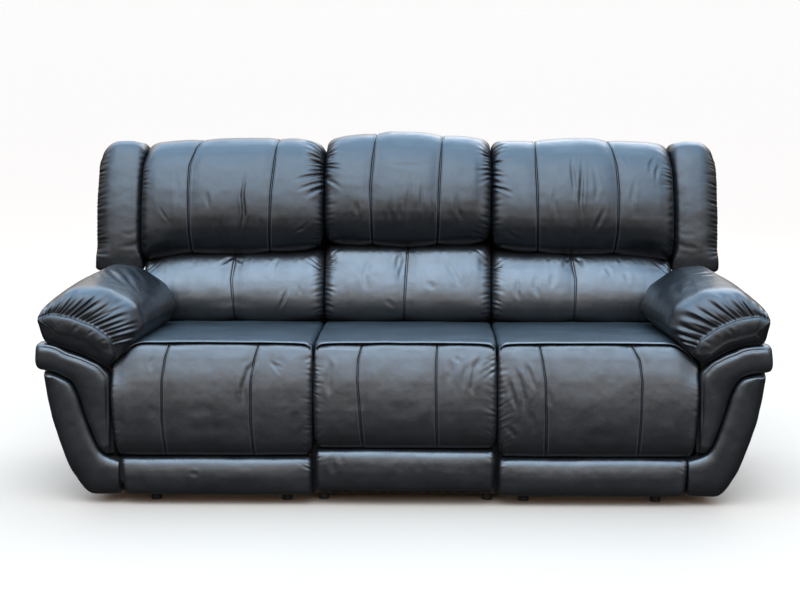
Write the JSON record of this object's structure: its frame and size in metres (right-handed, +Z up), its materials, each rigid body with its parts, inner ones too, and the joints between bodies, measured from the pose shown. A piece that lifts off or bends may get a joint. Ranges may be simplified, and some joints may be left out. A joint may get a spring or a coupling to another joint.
{
  "type": "reclining sofa",
  "caption": "Reclining sofa with two reclining end seats, a fixed middle seat, pillow arms and swing-out footrests.",
  "frame": {"origin": "on the floor, under the centre of the bounding box", "axes": "+X to the right as seen from the front, +Y to the rear, +Z up"},
  "size_m": [2.16, 0.9413, 1.0558],
  "materials": {
    "leather": "satin",
    "timber": "matte",
    "black_steel": "satin",
    "zinc_steel": "satin",
    "spring_steel": "satin",
    "black_plastic": "matte",
    "foot_plastic": "matte",
    "cable_sheath": "satin"
  },
  "bodies": {
    "root": {"left_arm_frame": "timber", "left_arm_side_panel": "leather", "left_arm_cap": "leather", "left_arm_front_bolster": "leather", "left_arm_pad": "leather", "left_handle_bezel": "black_plastic", "left_release_cable": "cable_sheath", "left_base_frame": "black_steel", "right_arm_frame": "timber", "right_arm_side_panel": "leather", "right_arm_cap": "leather", "right_arm_front_bolster": "leather", "right_arm_pad": "leather", "right_handle_bezel": "black_plastic", "right_release_cable": "cable_sheath", "right_base_frame": "black_steel", "centre_base": "timber", "centre_seat_springs": "spring_steel", "centre_seat_cushion": "leather", "centre_lower_pad": "leather", "centre_back_frame": "timber", "centre_upper_cushion": "leather", "centre_lumbar_cushion": "leather", "centre_back_rear_panel": "leather", "feet": "foot_plastic", "bolts": "zinc_steel"},
    "left_seat": {"left_seat_frame": "timber", "left_seat_springs": "spring_steel", "left_seat_side_plates": "zinc_steel", "left_seat_cushion": "leather"},
    "left_back": {"left_back_frame": "timber", "left_back_rear_panel": "leather", "left_back_wing": "leather", "left_back_brackets": "zinc_steel", "left_upper_cushion": "leather", "left_lumbar_cushion": "leather"},
    "left_carriage": {"left_extension_arms": "zinc_steel"},
    "left_footrest": {"left_footrest_board": "timber", "left_footrest_pad": "leather", "left_footrest_lower_pad": "leather"},
    "left_rear_link": {"left_rear_links": "zinc_steel"},
    "left_front_link": {"left_front_links": "zinc_steel"},
    "left_handle": {"left_release_handle": "black_plastic"},
    "right_seat": {"right_seat_frame": "timber", "right_seat_springs": "spring_steel", "right_seat_side_plates": "zinc_steel", "right_seat_cushion": "leather"},
    "right_back": {"right_back_frame": "timber", "right_back_rear_panel": "leather", "right_back_wing": "leather", "right_back_brackets": "zinc_steel", "right_upper_cushion": "leather", "right_lumbar_cushion": "leather"},
    "right_carriage": {"right_extension_arms": "zinc_steel"},
    "right_footrest": {"right_footrest_board": "timber", "right_footrest_pad": "leather", "right_footrest_lower_pad": "leather"},
    "right_rear_link": {"right_rear_links": "zinc_steel"},
    "right_front_link": {"right_front_links": "zinc_steel"},
    "right_handle": {"right_release_handle": "black_plastic"}
  },
  "joints": [
    {"name": "left_seat_glide", "type": "slide", "parent": "root", "child": "left_seat", "axis": [0, -1, 0], "range_m": [0, 0.055]},
    {"name": "left_back_recline", "type": "hinge", "parent": "left_seat", "child": "left_back", "pos_m": [-0.5695, 0.16893, 0.35], "axis": [-1, 0, 0], "range_deg": [0, 35]},
    {"name": "left_footrest_extension", "type": "slide", "parent": "left_seat", "child": "left_carriage", "axis": [0, -1, 0], "range_m": [0, 0.096]},
    {"name": "left_footrest_swing", "type": "hinge", "parent": "left_carriage", "child": "left_footrest", "pos_m": [-0.5695, -0.40907, 0.424], "axis": [-1, 0, 0], "range_deg": [0, 88]},
    {"name": "left_rear_link_swing", "type": "hinge", "parent": "left_seat", "child": "left_rear_link", "pos_m": [-0.5695, -0.22107, 0.355], "axis": [-1, 0, 0], "range_deg": [0, 20]},
    {"name": "left_front_link_swing", "type": "hinge", "parent": "left_rear_link", "child": "left_front_link", "pos_m": [-0.5695, -0.25989, 0.21011], "axis": [-1, 0, 0], "range_deg": [-40, 0]},
    {"name": "left_handle_pull", "type": "hinge", "parent": "root", "child": "left_handle", "pos_m": [-1.02808, -0.04107, 0.29118], "axis": [0, 1, 0], "range_deg": [0, 35], "stiffness_Nm_per_rad": 1, "springref_deg": -17.19},
    {"name": "right_seat_glide", "type": "slide", "parent": "root", "child": "right_seat", "axis": [0, -1, 0], "range_m": [0, 0.055]},
    {"name": "right_back_recline", "type": "hinge", "parent": "right_seat", "child": "right_back", "pos_m": [0.5695, 0.16893, 0.35], "axis": [-1, 0, 0], "range_deg": [0, 35]},
    {"name": "right_footrest_extension", "type": "slide", "parent": "right_seat", "child": "right_carriage", "axis": [0, -1, 0], "range_m": [0, 0.096]},
    {"name": "right_footrest_swing", "type": "hinge", "parent": "right_carriage", "child": "right_footrest", "pos_m": [0.5695, -0.40907, 0.424], "axis": [-1, 0, 0], "range_deg": [0, 88]},
    {"name": "right_rear_link_swing", "type": "hinge", "parent": "right_seat", "child": "right_rear_link", "pos_m": [0.5695, -0.22107, 0.355], "axis": [-1, 0, 0], "range_deg": [0, 20]},
    {"name": "right_front_link_swing", "type": "hinge", "parent": "right_rear_link", "child": "right_front_link", "pos_m": [0.5695, -0.25989, 0.21011], "axis": [-1, 0, 0], "range_deg": [-40, 0]},
    {"name": "right_handle_pull", "type": "hinge", "parent": "root", "child": "right_handle", "pos_m": [1.02808, -0.04107, 0.29118], "axis": [0, -1, 0], "range_deg": [0, 35], "stiffness_Nm_per_rad": 1, "springref_deg": -17.19}
  ],
  "couplings": [
    {"joint": "left_seat_glide", "follows": "left_back_recline", "m_per_rad": 0.09},
    {"joint": "left_footrest_extension", "follows": "left_footrest_swing", "m_per_rad": 0.062},
    {"joint": "left_rear_link_swing", "follows": "left_footrest_swing", "ratio": 0.2262},
    {"joint": "left_front_link_swing", "follows": "left_footrest_swing", "ratio": -0.4524},
    {"joint": "right_seat_glide", "follows": "right_back_recline", "m_per_rad": 0.09},
    {"joint": "right_footrest_extension", "follows": "right_footrest_swing", "m_per_rad": 0.062},
    {"joint": "right_rear_link_swing", "follows": "right_footrest_swing", "ratio": 0.2262},
    {"joint": "right_front_link_swing", "follows": "right_footrest_swing", "ratio": -0.4524}
  ]
}
